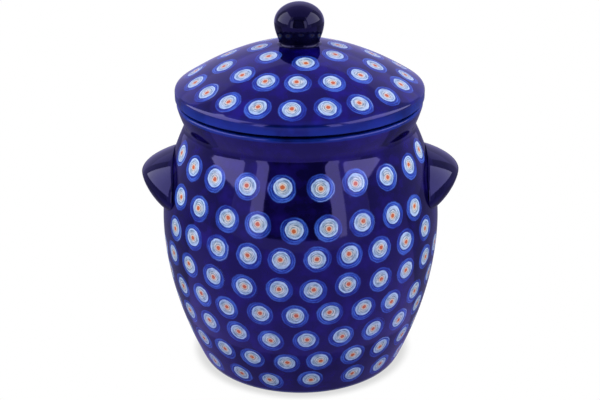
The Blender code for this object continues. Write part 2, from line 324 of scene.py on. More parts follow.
def knob_outline():
    """Half section of the knob, with its glaze fillet sunk into the dome."""
    base = SEAT_HEIGHT + DOME_TOP + SEAT_GAP
    neck_height = dome_height(KNOB_NECK_RADIUS) - DOME_TOP
    crown_rise = knob_high.z - base - KNOB_RISE
    flank = []
    for t in between(0, 1, KNOB_STEP):
        swell = 1 - (1 - t) ** KNOB_FLANK_SHARE
        radius = KNOB_NECK_RADIUS + (KNOB_RADIUS - KNOB_NECK_RADIUS) * swell
        flank.append((radius, neck_height + (KNOB_RISE - neck_height) * t))
    flank = [point for point in flank if point[1] > neck_height + KNOB_FILLET]
    crown = [
        (KNOB_RADIUS * math.cos(angle), KNOB_RISE + crown_rise * math.sin(angle))
        for angle in between(0, RIGHT_ANGLE, KNOB_CROWN_STEP)
    ]
    skirt_radius = KNOB_NECK_RADIUS + KNOB_FILLET
    skirt = (skirt_radius, dome_height(skirt_radius) - DOME_TOP - SEAT_GAP)
    fillet = bend(skirt, (KNOB_NECK_RADIUS, neck_height), flank[0])
    under = [(0, -BURIED), (skirt_radius, skirt[1] - BURIED)]
    outline = joined((under + fillet + flank + crown, "glaze", 0))
    return [(radius, base + height, finish, thin) for radius, height, finish, thin in outline]


def turned(outline, steps):
    """Vertices, faces, finishes and thinness of a solid turned about Z from its half section."""
    verts, faces, finishes, thinness, rings = [], [], [], [], []
    for radius, height, _finish, thin in outline:
        count = 1 if radius < SAME_PLACE else steps
        rings.append(range(len(verts), len(verts) + count))
        for step in range(count):
            angle = FULL_TURN * step / steps
            verts.append((radius * math.sin(angle), -radius * math.cos(angle), height))
            thinness.append(thin)
    for below, above, point in zip(rings[:-1], rings[1:], outline[1:]):
        for i in range(steps):
            j = (i + 1) % steps
            corners = (below[i % len(below)], below[j % len(below)],
                       above[j % len(above)], above[i % len(above)])
            faces.append(tuple(dict.fromkeys(corners)))
            finishes.append(point[2])
    return verts, faces, finishes, thinness


def add_piece(name, shape, materials, body, replaces, dots=()):
    """Make one mesh, dress each face in its finish, and let it ride on its body."""
    verts, faces, finishes, thinness = shape
    mesh = bpy.data.meshes.new(name)
    mesh.from_pydata(verts, [], faces)
    order = list(materials)
    for material in materials.values():
        mesh.materials.append(material)
    mesh.polygons.foreach_set("material_index", [order.index(finish) for finish in finishes])
    thin = mesh.attributes.new("thin", 'FLOAT', 'POINT')
    thin.data.foreach_set("value", thinness)
    mark_dots(mesh, dots)
    mesh.shade_smooth()
    mesh.set_sharp_from_angle(angle=SMOOTH_ANGLE)
    piece = bpy.data.objects.new(name, mesh)
    bpy.context.scene.collection.objects.link(piece)
    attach(piece, body)
    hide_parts(replaces)


def mark_dots(mesh, dots):
    """Give each face corner its place in millimetres on the nearest dot, and the dot's seed."""
    mark = mesh.attributes.new("eye", 'FLOAT_VECTOR', 'CORNER')
    corners = np.tile(NO_DOT, (len(mesh.loops), 1))
    if dots:
        places = np.array([v.co for v in mesh.vertices])
        centres = np.array([face.center for face in mesh.polygons])
        sides = [face.loop_total for face in mesh.polygons]
        owners = np.repeat(np.arange(len(mesh.polygons)), sides)
        corner_verts = np.array([loop.vertex_index for loop in mesh.loops])
        nearest = np.full(len(centres), -1)
        reach = np.full(len(centres), np.inf)
        for number, dot in enumerate(dots):
            distance = np.linalg.norm(centres - np.array(dot[0]), axis=1)
            closer = distance < reach
            nearest[closer] = number
            reach[closer] = distance[closer]
        for number, (centre, across, up, seed) in enumerate(dots):
            chosen = (nearest[owners] == number) & (reach[owners] < 2 * DOT_REACH)
            offset = places[corner_verts[chosen]] - np.array(centre)
            corners[chosen, 0] = offset @ np.array(across) / MM
            corners[chosen, 1] = offset @ np.array(up) / MM
            corners[chosen, 2] = seed
    mark.data.foreach_set("vector", corners.ravel())


def row_places(front, dice):
    """Angles and shifts of the row's dots: those in front as given, and the rest of the turn at
    the same spacing, stamped as loosely."""
    places = [(math.radians(angle), shift * MM) for angle, shift in front]
    first, last = places[0][0], places[-1][0]
    spacing = (last - first) / (len(places) - 1)
    gap = first + FULL_TURN - last
    count = round(gap / spacing)
    for i in range(1, count):
        nudge, shift = (dice.uniform(-reach, reach) for reach in DOT_JITTER)
        places.append((last + gap * i / count + nudge, shift))
    return places


def dot_at(angle, radius, height, slope, dice):
    """A dot's centre, the directions across and up its row, and its seed."""
    outward = Vector((math.sin(angle), -math.cos(angle), 0))
    across = Vector((math.cos(angle), math.sin(angle), 0))
    up = (outward * slope[0] + Vector((0, 0, slope[1]))).normalized()
    centre = outward * radius + Vector((0, 0, height))
    return centre, across, up, dice.random()


def clear_of_lugs(centre):
    """True if a dot there doesn't run under a lug."""
    share = min(1, abs(centre.y) / LUG_HALF_WIDTH)
    rise = math.sqrt(1 - share ** 2)
    top = LUG_HEIGHT + LUG_TOP * rise ** LUG_ROUNDNESS_SHARE + DOT_REACH
    bottom = LUG_HEIGHT - LUG_UNDERSIDE * rise - DOT_REACH
    beside = abs(centre.y) > LUG_HALF_WIDTH + DOT_REACH
    return beside or not bottom < centre.z < top


def body_dots():
    dice = random.Random(SEED)
    dots = []
    for row_height, front in BODY_ROWS:
        for angle, shift in row_places(front, dice):
            height = row_height + shift
            lean = (belly_radius(height + MM) - belly_radius(height - MM)) / (2 * MM)
            dots.append(dot_at(angle, belly_radius(height), height, (lean, 1), dice))
    return [dot for dot in dots if clear_of_lugs(dot[0])]


def lid_dots():
    dice = random.Random(SEED + 1)
    dots = []
    for row_radius, front in LID_ROWS:
        for angle, shift in row_places(front, dice):
            radius = row_radius + shift
            fall = (dome_height(radius + MM) - dome_height(radius - MM)) / (2 * MM)
            dots.append(dot_at(angle, radius, SEAT_HEIGHT + dome_height(radius), (-1, -fall), dice))
    return dots


def lug_point(s, angle):
    """A point on the right lug, at share s from root to tip and angle round its section."""
    x = BELLY_RADIUS - LUG_ROOT_INSET + (LUG_ROOT_INSET + LUG_REACH) * s
    half_width = LUG_HALF_WIDTH * math.sqrt(1 - s ** LUG_PLAN_SHARE)
    top = LUG_TOP * (1 - s ** LUG_TOP_SHARES[0]) ** LUG_TOP_SHARES[1]
    underside = LUG_UNDERSIDE * (1 - s ** LUG_UNDERSIDE_SHARES[0]) ** LUG_UNDERSIDE_SHARES[1]
    z = LUG_HEIGHT + LUG_TIP_LIFT * s ** LUG_LIFT_SHARE
    rise = math.sin(angle)
    if rise > 0:
        z += top * rise ** LUG_ROUNDNESS_SHARE
    else:
        z += underside * rise
    return Vector((x, half_width * math.cos(angle), z))


def on_belly(point, depth=0.0):
    """The point moved level with the belly's surface, or that deep under it."""
    flat = Vector((point.x, point.y, 0))
    flat.length = belly_radius(point.z) - depth
    return Vector((flat.x, flat.y, point.z))


def lug_joint(angle):
    """The share s at which the lug leaves the belly, at that angle round its section."""
    low, high = 0.0, 1.0
    for _ in range(JOINT_HALVINGS):
        middle = (low + high) / 2
        point = lug_point(middle, angle)
        if math.hypot(point.x, point.y) < belly_radius(point.z):
            low = middle
        else:
            high = middle
    return high


def lug_shape(side):
    """A lug from its tip to the seam where it is pressed on, closed inside the wall. side is 1
    for the right lug and -1 for the left."""
    centre = (lug_point(0, 0) + lug_point(0, math.pi)) / 2
    count = LUG_TURN_STEPS
    rings = [[] for _ in range(LUG_STEPS + EDGE_STEPS + 1)]
    for step in range(count):
        angle = FULL_TURN * step / count
        joint_share = lug_joint(angle)
        joint = on_belly(lug_point(joint_share, angle))
        start_share = joint_share + LUG_SEAM / (LUG_ROOT_INSET + LUG_REACH)
        for ring in range(LUG_STEPS):
            nearness = (ring + 1) / LUG_STEPS
            share = start_share + (1 - start_share) * (1 - nearness ** 2)
            rings[ring].append(lug_point(share, angle))
        away = joint - centre
        away.x = 0
        foot = on_belly(joint - away.normalized() * LUG_PINCH)
        seam = bend(lug_point(start_share, angle), joint, foot)
        for ring, point in zip(rings[LUG_STEPS:-1], seam[1:]):
            ring.append(Vector(point))
        rings[-1].append(on_belly(foot, BURIED))

    inside = on_belly(centre + Vector((LUG_ROOT_INSET, 0, 0)), BURIED)
    points = [point for ring in rings for point in ring] + [lug_point(1, 0), inside]
    verts = [(side * point.x, side * point.y, point.z) for point in points]
    tip, root = len(points) - 2, len(points) - 1
    last = (len(rings) - 1) * count
    faces = []
    for start in range(0, last, count):
        for i in range(count):
            j = (i + 1) % count
            faces.append((start + count + i, start + count + j, start + j, start + i))
    for i in range(count):
        j = (i + 1) % count
        faces += [(i, j, tip), (last + j, last + i, root)]
    return verts, faces, ["glaze"] * len(faces), [0.0] * len(verts)


# Materials

# Colours as they look, 0 to 255 in sRGB. Those of an eye dot's ring and disc go by the tone
# that its streaks and lines add up to.
RING_TONES = ((0.15, (20, 36, 127)), (0.50, (35, 66, 172)), (0.90, (70, 112, 220)))
DISC_TONES = ((0.15, (112, 144, 172)), (0.40, (160, 184, 206)), (0.62, (196, 214, 230)),
              (0.95, (232, 244, 254)))
HALO = (238, 206, 178)
PUPIL = (208, 104, 48)
CRESCENT = (140, 168, 230)
BARE_CLAY = (176, 152, 122)
BARE_CLAY_DARK = (140, 112, 84)
CREAM = (226, 216, 192)
CREAM_DARK = (206, 190, 158)

# Tints of the disc near its middle and at its edge
DISC_INNER_TINT = (0.97, 0.88, 0.84, 1.0)
DISC_EDGE_TINT = (0.66, 0.80, 1.08, 1.0)
DISC_TINT_RANGE = (0.35, 1.0)

# The cobalt glazes in linear colour where they lie thick and thin, and the tint of their gloss
BODY_COBALT = (0.0036, 0.0016, 0.057)
LID_COBALT = (0.0022, 0.0009, 0.068)
LUG_COBALT = (0.0026, 0.0022, 0.015)
THIN_COBALT = (0.0032, 0.034, 0.32, 1.0)
COBALT_TINT = (0.36, 0.31, 1.0, 1.0)
LUG_TINT = (0.20, 0.18, 0.70, 1.0)
KNOB_TINT = (0.19, 0.175, 0.42, 1.0)
GLAZE_IOR = 1.8
PLAIN_IOR = 1.5

# How bright the eye dots are drawn on the jar and on the lid
# The lid's are dimmed as painted shade, where more light falls on its upturned top
BODY_EYES = 1.0
LID_EYES_PAINTED_SHADE = 0.87

# Radii on an eye dot in millimetres, and how far its parts may lie off centre
RING_EDGE = 8.4
DISC_EDGE = 5.65
HALO_EDGE = 1.9
PUPIL_EDGE = 1.25
RING_DRIFT = 0.5
RING_SAG = 0.4
PUPIL_DRIFT = 0.8

# Where each part has gone and where it is whole, in millimetres from its edge
RING_FADE = (0.55, -0.65)
DISC_FADE = (0.2, -0.2)
HALO_FADE = (0.5, -0.4)
PUPIL_FADE = (0.3, -0.2)
DARK_LINE_FADE = (1.2, 0.3)
CRESCENT_INNER_FADE = (-0.9, -0.5)
CRESCENT_OUTER_FADE = (-0.1, -0.4)

# How the hand-cut outlines waver: scales of a broad and a fine noise per millimetre, and how
# far each radius strays with them in millimetres. The ring follows the broad one, the disc
# both, and the rest the fine one.
BROAD_SCALE = 0.22
FINE_SCALE = 0.9
RING_WAVER = 1.3
DISC_WAVER = (-1.1, 0.5)
SWIRL_WAVER = 1.0
PUPIL_WAVER = 1.0
LINE_WAVER = 1.2

# Streaks of the brush: how finely they change across and along, and how strongly they show
STREAK_SCALE = 1.25
STREAK_TURN = 0.75
DISC_STREAKS = 2.0
RING_STREAKS = 1.5
RING_BASE_TONE = -0.22
PALE_SIDE_TONE = 0.22
DARK_LINE_TONE = -0.25
LINE_TONE = 0.18
LINE_SPACING = 1.54

# The disc's swirl, as tones at shares of the disc's radius
SWIRL_TONES = (
    (0.0, 0.76), (0.32, 0.76), (0.40, 0.20), (0.47, 0.78), (0.55, 0.74), (0.61, 0.22),
    (0.68, 0.78), (0.75, 0.42), (0.82, 0.64), (0.93, 0.88), (1.0, 0.60),
)

# Which part of the ring bears a pale crescent, and on which share of the dots
CRESCENT_SIDE = (0.3, 0.7)
CRESCENT_SHARE = (0.78, 0.90)

# Offsets that keep one dot's noise apart from the next one's
WAVER_SPREAD = 90.0
STREAK_SPREAD = 60.0

# Patches in the cobalt glaze: noise scales per metre, the range over which it turns from dark
# to pale, how dark and pale, and the range over which thin glaze shows
POOL_SCALE = 55.0
BRUSH_SCALE = 120.0
PATCH_RANGE = (0.40, 0.72)
DARK_PATCH = 0.55
PALE_PATCH = 2.2
THIN_RANGE = (0.1, 0.55)

# Relief of the surfaces, as noise scales per metre and heights
SWELL_SCALE = 45.0
SWELL_HEIGHT = 0.09 * MM
RIPPLE_SCALE = 260.0
RIPPLE_HEIGHT = 0.010 * MM
EYE_HEIGHT = 0.02 * MM
LINING_HEIGHT = 0.10 * MM
GRAIN_HEIGHT = 0.08 * MM

# Roughness: the least, and what noise, thin glaze and the eye dots add
GLAZE_ROUGHNESS = 0.035
ROUGHNESS_SCALE = 90.0
UNEVEN_ROUGHNESS = 0.04
THIN_ROUGHNESS = 0.08
EYE_ROUGHNESS = 0.09
LINING_ROUGHNESS = 0.12
LINING_UNEVENNESS = 0.10
CLAY_ROUGHNESS = 0.72
CLAY_UNEVENNESS = 0.15

# Clouds and specks of the lining and of the bare clay
LINING_CLOUD_SCALE = 30.0
SPECK_SCALE = 900.0
SPECK_RANGE = (0.72, 0.80)
SPECK_STRENGTH = 0.6
CLAY_CLOUD_SCALE = 60.0
GRAIN_SCALE = 1400.0
GRAIN_RANGE = (0.62, 0.75)


def linear(colour):
    """An sRGB colour of 0 to 255 as linear RGBA."""
    shares = [value / 255 for value in colour]
    return (*(s / 12.92 if s < 0.04045 else ((s + 0.055) / 1.055) ** 2.4 for s in shares), 1.0)


def node(tree, kind, inputs=None, **settings):
    """Add a shader node, set it up, and feed its inputs with values or other outputs."""
    made = tree.nodes.new("ShaderNode" + kind)
    for name, value in settings.items():
        setattr(made, name, value)
    for name, value in (inputs or {}).items():
        if isinstance(value, bpy.types.NodeSocket):
            tree.links.new(value, made.inputs[name])
        else:
            made.inputs[name].default_value = value
    return made


def calc(tree, operation, *values, clamp=False):
    inputs = dict(enumerate(values))
    return node(tree, "Math", inputs, operation=operation, use_clamp=clamp).outputs[0]


def vector(tree, operation, *values):
    made = node(tree, "VectorMath", dict(enumerate(values)), operation=operation)
    return made.outputs["Value" if operation in ("LENGTH", "DOT_PRODUCT") else "Vector"]


def scaled(tree, value, factor):
    return node(tree, "VectorMath", {0: value, 3: factor}, operation='SCALE').outputs["Vector"]


def blend(tree, factor, first, second):
    """Colour that goes from first to second as factor goes from 0 to 1."""
    return node(tree, "Mix", {0: factor, 6: first, 7: second}, data_type='RGBA').outputs[2]


def soft_step(tree, value, start, end):
    """0 where value is at start and 1 where it is at end, with a soft change between."""
    made = node(tree, "MapRange", {"Value": value, "From Min": start, "From Max": end},
                interpolation_type='SMOOTHSTEP')
    return made.outputs["Result"]


def ramp(tree, value, stops):
    """Colours along a value, from (position, linear RGBA) stops."""
    made = node(tree, "ValToRGB", {"Fac": value})
    elements = made.color_ramp.elements
    while len(elements) < len(stops):
        elements.new(0.5)
    for element, (position, colour) in zip(elements, stops):
        element.position = position
        element.color = colour
    return made.outputs["Color"]


def toned(tree, tone, tones):
    """The colour that goes with a tone, from (tone, sRGB colour) pairs."""
    return ramp(tree, tone, [(place, linear(colour)) for place, colour in tones])


def wave(tree, value, spacing):
    """A wave from -1 to 1 that comes back after each spacing."""
    return calc(tree, 'SINE', calc(tree, 'MULTIPLY', value, FULL_TURN / spacing))


def noise(tree, place, scale, detail=2.0):
    made = node(tree, "TexNoise", {"Vector": place, "Scale": scale, "Detail": detail})
    return made.outputs["Fac"]


def off_middle(tree, value):
    """A noise of 0 to 1 as a swing about 0."""
    return calc(tree, 'SUBTRACT', value, 0.5)


def new_material(name, ior):
    material = bpy.data.materials.new(name)
    material.use_nodes = True
    tree = material.node_tree
    shader = tree.nodes["Principled BSDF"]
    shader.inputs["IOR"].default_value = ior
    place = node(tree, "TexCoord").outputs["Object"]
    return material, tree, shader, place


def dress(tree, shader, colour, roughness, height):
    """Feed a shader its colour, its roughness and the height of its surface in metres."""
    bump = node(tree, "Bump", {"Height": height, "Strength": 1.0, "Distance": 1.0})
    tree.links.new(colour, shader.inputs["Base Color"])
    tree.links.new(roughness, shader.inputs["Roughness"])
    tree.links.new(bump.outputs["Normal"], shader.inputs["Normal"])


def eye_pattern(tree, ground, level):
    """The stamped eye over the ground colour at the given level, and how far it covers it."""
    mark = node(tree, "Attribute", attribute_name="eye").outputs["Vector"]
    parts = node(tree, "SeparateXYZ", {"Vector": mark})
    seed = parts.outputs["Z"]
    flat = node(tree, "CombineXYZ", {"X": parts.outputs["X"], "Y": parts.outputs["Y"]}).outputs[0]
    bearing = vector(tree, 'NORMALIZE', flat)

    def lot(salt):
        """A random way off centre, the same all over one dot, and a random share."""
        salted = calc(tree, 'ADD', seed, salt)
        drawn = node(tree, "TexWhiteNoise", {"W": salted}, noise_dimensions='1D')
        centred = vector(tree, 'SUBTRACT', drawn.outputs["Color"], (0.5, 0.5, 0.5))
        return vector(tree, 'MULTIPLY', centred, (2.0, 2.0, 0.0)), drawn.outputs["Value"]

    def along_z(value):
        return node(tree, "CombineXYZ", {"Z": value}).outputs[0]

    def within(radius, edge, fade):
        """1 inside the edge and 0 outside it."""
        return soft_step(tree, radius, edge + fade[0], edge + fade[1])

    def distance(centre):
        return vector(tree, 'LENGTH', vector(tree, 'SUBTRACT', flat, centre))

    ring_way, _ = lot(1.0)
    pupil_way, _ = lot(2.0)
    pale_way, pale_share = lot(3.0)
    pupil_centre = scaled(tree, pupil_way, PUPIL_DRIFT)

    waver_place = vector(tree, 'ADD', flat, along_z(calc(tree, 'MULTIPLY', seed, WAVER_SPREAD)))
    broad = off_middle(tree, noise(tree, waver_place, BROAD_SCALE))
    fine = off_middle(tree, noise(tree, waver_place, FINE_SCALE))

    ring_way = scaled(tree, ring_way, RING_DRIFT)
    ring_centre = vector(tree, 'SUBTRACT', ring_way, (0.0, RING_SAG, 0.0))
    ring_radius = calc(tree, 'MULTIPLY_ADD', broad, RING_WAVER, distance(ring_centre))
    disc_radius = calc(tree, 'MULTIPLY_ADD', broad, DISC_WAVER[0], vector(tree, 'LENGTH', flat))
    disc_radius = calc(tree, 'MULTIPLY_ADD', fine, DISC_WAVER[1], disc_radius)

    # The swirl turns about the pupil in its middle and about the disc's centre at its edge
    share = calc(tree, 'DIVIDE', disc_radius, DISC_EDGE, clamp=True)
    swirl_centre = scaled(tree, pupil_centre, calc(tree, 'SUBTRACT', 1.0, share))
    swirl_radius = calc(tree, 'MULTIPLY_ADD', fine, SWIRL_WAVER, distance(swirl_centre))
    streak_depth = calc(tree, 'MULTIPLY_ADD', seed, STREAK_SPREAD, swirl_radius)
    streak_place = vector(tree, 'ADD', scaled(tree, bearing, STREAK_TURN), along_z(streak_depth))
    streaks = noise(tree, streak_place, STREAK_SCALE)
    swirl = ramp(tree, calc(tree, 'DIVIDE', swirl_radius, DISC_EDGE),
                 [(place, (tone, tone, tone, 1.0)) for place, tone in SWIRL_TONES])
    streak_tone = calc(tree, 'MULTIPLY', off_middle(tree, streaks), DISC_STREAKS)
    disc = toned(tree, calc(tree, 'ADD', swirl, streak_tone), DISC_TONES)
    tint = blend(tree, soft_step(tree, share, *DISC_TINT_RANGE), DISC_INNER_TINT, DISC_EDGE_TINT)
    disc = vector(tree, 'MULTIPLY', disc, tint)
    pupil_radius = calc(tree, 'MULTIPLY_ADD', fine, PUPIL_WAVER, distance(pupil_centre))
    disc = blend(tree, within(pupil_radius, HALO_EDGE, HALO_FADE), disc, linear(HALO))
    disc = blend(tree, within(pupil_radius, PUPIL_EDGE, PUPIL_FADE), disc, linear(PUPIL))

    towards_pale = vector(tree, 'DOT_PRODUCT', bearing, pale_way)
    tone = calc(tree, 'MULTIPLY_ADD', streaks, RING_STREAKS, RING_BASE_TONE)
    tone = calc(tree, 'MULTIPLY_ADD', towards_pale, PALE_SIDE_TONE, tone)
    beside_disc = within(disc_radius, DISC_EDGE, DARK_LINE_FADE)
    tone = calc(tree, 'MULTIPLY_ADD', beside_disc, DARK_LINE_TONE, tone)
    line_radius = calc(tree, 'ADD', ring_radius, calc(tree, 'MULTIPLY', fine, LINE_WAVER))
    tone = calc(tree, 'MULTIPLY_ADD', wave(tree, line_radius, LINE_SPACING), LINE_TONE, tone)
    ring = toned(tree, tone, RING_TONES)
    crescent = calc(tree, 'MULTIPLY', within(ring_radius, RING_EDGE, CRESCENT_INNER_FADE),
                    within(ring_radius, RING_EDGE, CRESCENT_OUTER_FADE))
    crescent = calc(tree, 'MULTIPLY', crescent, soft_step(tree, towards_pale, *CRESCENT_SIDE))
    crescent = calc(tree, 'MULTIPLY', crescent, soft_step(tree, pale_share, *CRESCENT_SHARE))
    ring = blend(tree, crescent, ring, linear(CRESCENT))

    in_ring = within(ring_radius, RING_EDGE, RING_FADE)
    in_disc = within(disc_radius, DISC_EDGE, DISC_FADE)
    # The level dims the ring and the disc; on the lid this dimming is painted shade
    colour = blend(tree, in_ring, ground, scaled(tree, ring, level))
    colour = blend(tree, in_disc, colour, scaled(tree, disc, level))
    return colour, calc(tree, 'ADD', in_ring, in_disc)


def cobalt_glaze(name, cobalt, tint, eye_level=0.0):
    """Glossy cobalt glaze, lighter where it is thin, with eye dots if they get a level."""
    material, tree, shader, place = new_material(name, GLAZE_IOR)
    shader.inputs["Specular Tint"].default_value = tint
    pool = noise(tree, place, POOL_SCALE, detail=3.0)
    brushed = noise(tree, place, BRUSH_SCALE)
    patches = calc(tree, 'MULTIPLY_ADD', brushed, 0.5, calc(tree, 'MULTIPLY', pool, 0.5))
    darker = tuple(value * DARK_PATCH for value in cobalt)
    paler = tuple(value * PALE_PATCH for value in cobalt)
    ground = blend(tree, soft_step(tree, patches, *PATCH_RANGE), (*darker, 1.0), (*paler, 1.0))
    thin = node(tree, "Attribute", attribute_name="thin").outputs["Fac"]
    thin = calc(tree, 'MULTIPLY', thin, soft_step(tree, pool, *THIN_RANGE))
    ground = blend(tree, thin, ground, THIN_COBALT)

    height = calc(tree, 'MULTIPLY', noise(tree, place, SWELL_SCALE, detail=1.0), SWELL_HEIGHT)
    ripples = noise(tree, place, RIPPLE_SCALE)
    height = calc(tree, 'MULTIPLY_ADD', ripples, RIPPLE_HEIGHT, height)
    uneven = noise(tree, place, ROUGHNESS_SCALE)
    roughness = calc(tree, 'MULTIPLY_ADD', uneven, UNEVEN_ROUGHNESS, GLAZE_ROUGHNESS)
    roughness = calc(tree, 'MULTIPLY_ADD', thin, THIN_ROUGHNESS, roughness)
    if eye_level:
        ground, cover = eye_pattern(tree, ground, eye_level)
        height = calc(tree, 'MULTIPLY_ADD', cover, EYE_HEIGHT, height)
        roughness = calc(tree, 'MULTIPLY_ADD', cover, EYE_ROUGHNESS, roughness)
    dress(tree, shader, ground, roughness, height)
    return material


def lining_glaze(name):
    """The cream glaze inside, with faint brown specks."""
    material, tree, shader, place = new_material(name, PLAIN_IOR)
    cloud = noise(tree, place, LINING_CLOUD_SCALE, detail=3.0)
    specks = soft_step(tree, noise(tree, place, SPECK_SCALE, detail=1.0), *SPECK_RANGE)
    specks = calc(tree, 'MULTIPLY', specks, SPECK_STRENGTH)
    colour = blend(tree, cloud, linear(CREAM), linear(CREAM_DARK))
    colour = blend(tree, specks, colour, linear(BARE_CLAY_DARK))
    height = calc(tree, 'MULTIPLY', cloud, LINING_HEIGHT)
    roughness = calc(tree, 'MULTIPLY_ADD', cloud, LINING_UNEVENNESS, LINING_ROUGHNESS)
    dress(tree, shader, colour, roughness, height)
    return material


def bare_clay(name):
    """Unglazed stoneware, gritty and matt."""
    material, tree, shader, place = new_material(name, PLAIN_IOR)
    grain = noise(tree, place, GRAIN_SCALE)
    cloud = noise(tree, place, CLAY_CLOUD_SCALE, detail=4.0)
    colour = blend(tree, cloud, linear(BARE_CLAY), linear(BARE_CLAY_DARK))
    colour = blend(tree, soft_step(tree, grain, *GRAIN_RANGE), colour, linear(BARE_CLAY_DARK))
    height = calc(tree, 'MULTIPLY', grain, GRAIN_HEIGHT)
    roughness = calc(tree, 'MULTIPLY_ADD', cloud, CLAY_UNEVENNESS, CLAY_ROUGHNESS)
    dress(tree, shader, colour, roughness, height)
    return material


# Studio

# Light levels: of the lamps, of the world, and of the cards that only the glaze mirrors
LAMP_LIGHT = 2.8
AMBIENT_LIGHT = 0.45
WINDOW_LIGHT = 2.6
STRIP_LIGHT = 2.05
OPENING_LIGHT = 0.04
UPPER_FRONT_LIGHT = 0.5
HAZE_LIGHT = 0.96
NEAR_HAZE_LIGHT = 0.55
BACK_LIGHT = 0.8
HIGH_BACK_LIGHT = 1.1
WALL_LIGHT = 0.52
FRONT_WALL_LIGHT = 1.0
FLOOR_BACK_LIGHT = 0.3
WHITE = (1.0, 1.0, 1.0, 1.0)
HAZE = (0.37, 0.31, 0.86, 1.0)
WALL_TONE = (0.50, 0.46, 0.92, 1.0)

# The share of a card's light that is left where it is mirrored twice, and the glossy depth
# between the first mirror and the second
SECOND_MIRROR_SHARE = 0.1
BETWEEN_MIRRORS = 1.5

# The floor, and the jar's soft shadow on it
FLOOR_COLOUR = (0.50, 0.50, 0.50, 1.0)
SHADOW_DEPTH = 0.30
SHADOW_REACH = 0.011
SHADOW_RANGE = (0.35, 0.85)
SHADOW_SAMPLES = 16

# Places in metres. The lamps and windows stand at both sides, and FRONT is the y of the cards
# in front, with the strips a little before them and the front wall a little behind.
FLOOR_REACH = 1.4
LAMP_SIDE = 0.50
LAMP_ENDS = (-0.50, 0.30)
LAMP_HEIGHTS = (0.255, 0.97)
LEFT_WINDOW = ((-0.40, 0.25), (0.268, 0.92))
RIGHT_WINDOW = ((-0.59, 0.20), (0.300, 0.92))
FRONT = -0.60
LEFT_STRIP = ((-0.34, 0.07), (-0.50, 0.07), (-0.50, 0.62), (-0.32, 0.62))
RIGHT_STRIP = ((0.28, 0.07), (0.41, 0.07), (0.43, 0.62), (0.235, 0.62))
STRIP_LEAD = 0.004
FRONT_WALL_LAG = 0.006
OPENING_ENDS = (-0.33, 0.31)
OPENING_HEIGHTS = (0.075, 0.80)
UPPER_FRONT_ENDS = (-0.50, 0.50)
CEILING_HEIGHT = 1.30
CEILING_REACH = 0.90
WALL_ENDS = (-0.90, 0.90)
WALL_BACK = 0.90
BACK_JOINT = 0.60

# Rings of haze just over the floor, and how squarely in front of the jar they start and end
# their fade, as the cosine of the angle from straight ahead
NEAR_RING = (0.0695, 0.10)
OUTER_RING = (0.10, 1.35)
WHOLE_RING = (0.0695, 1.35)
FRONT_HALF = (math.pi, FULL_TURN)
BACK_HALF = (FULL_TURN, FULL_TURN + math.pi)
RING_HEIGHT = 0.0012
RING_STEPS = 24
FADE = (-0.6, 0.4)


def flat_stage(name, points, faces, shader_of):
    """A flat piece of the studio, with the shader that its tree makes."""
    mesh = bpy.data.meshes.new(name)
    mesh.from_pydata(points, [], faces)
    material = bpy.data.materials.new(name)
    material.use_nodes = True
    tree = material.node_tree
    tree.nodes.clear()
    node(tree, "OutputMaterial", {"Surface": shader_of(tree)})
    mesh.materials.append(material)
    piece = bpy.data.objects.new(name, mesh)
    bpy.context.scene.collection.objects.link(piece)
    return piece


def glow(tree, light, colour=WHITE):
    return node(tree, "Emission", {"Color": colour, "Strength": light}).outputs[0]


def mirrored_glow(tree, light, colour):
    """A glow that is full where the glaze mirrors it, and dim where it is mirrored once more."""
    depth = node(tree, "LightPath").outputs["Glossy Depth"]
    mirrored_once = calc(tree, 'LESS_THAN', depth, BETWEEN_MIRRORS)
    share = calc(tree, 'MULTIPLY_ADD', mirrored_once, 1.0 - SECOND_MIRROR_SHARE, SECOND_MIRROR_SHARE)
    return glow(tree, calc(tree, 'MULTIPLY', share, light), colour)


def fading_glow(tree, light, colour):
    """A glow that is full in front of the jar and fades away towards both sides."""
    place = vector(tree, 'MULTIPLY', node(tree, "TexCoord").outputs["Object"], (1.0, 1.0, 0.0))
    forward = vector(tree, 'DOT_PRODUCT', vector(tree, 'NORMALIZE', place), (0.0, -1.0, 0.0))
    fade = soft_step(tree, forward, *FADE)
    faded = calc(tree, 'MULTIPLY_ADD', fade, light - FLOOR_BACK_LIGHT, FLOOR_BACK_LIGHT)
    return mirrored_glow(tree, faded, colour)


def add_card(name, points, light, colour=WHITE, faces=((0, 1, 2, 3),), shader=mirrored_glow):
    """A card of the given light that only the gloss of the glaze shows."""
    card = flat_stage(name, points, faces, lambda tree: shader(tree, light, colour))
    card.visible_camera = False
    card.visible_diffuse = False
    card.visible_transmission = False
    card.visible_volume_scatter = False
    card.visible_shadow = False


def facing_side(x, ends, heights):
    """Corners of an upright rectangle that runs from front to back at x."""
    return [(x, ends[0], heights[0]), (x, ends[1], heights[0]),
            (x, ends[1], heights[1]), (x, ends[0], heights[1])]


def facing_front(y, ends, heights):
    """Corners of an upright rectangle that runs from left to right at y."""
    return [(ends[0], y, heights[0]), (ends[1], y, heights[0]),
            (ends[1], y, heights[1]), (ends[0], y, heights[1])]


def level_at(height, reach, front):
    """Corners of a level rectangle that reaches as far back as to both sides."""
    return [(-reach, front, height), (reach, front, height),
            (reach, reach, height), (-reach, reach, height)]


def half_ring(radii, angles):
    """Points and faces of a half of a flat ring just over the floor."""
    points = []
    for i in range(RING_STEPS + 1):
        angle = angles[0] + (angles[1] - angles[0]) * i / RING_STEPS
        for radius in radii:
            points.append((radius * math.cos(angle), radius * math.sin(angle), RING_HEIGHT))
    return points, [(2 * i, 2 * i + 1, 2 * i + 3, 2 * i + 2) for i in range(RING_STEPS)]


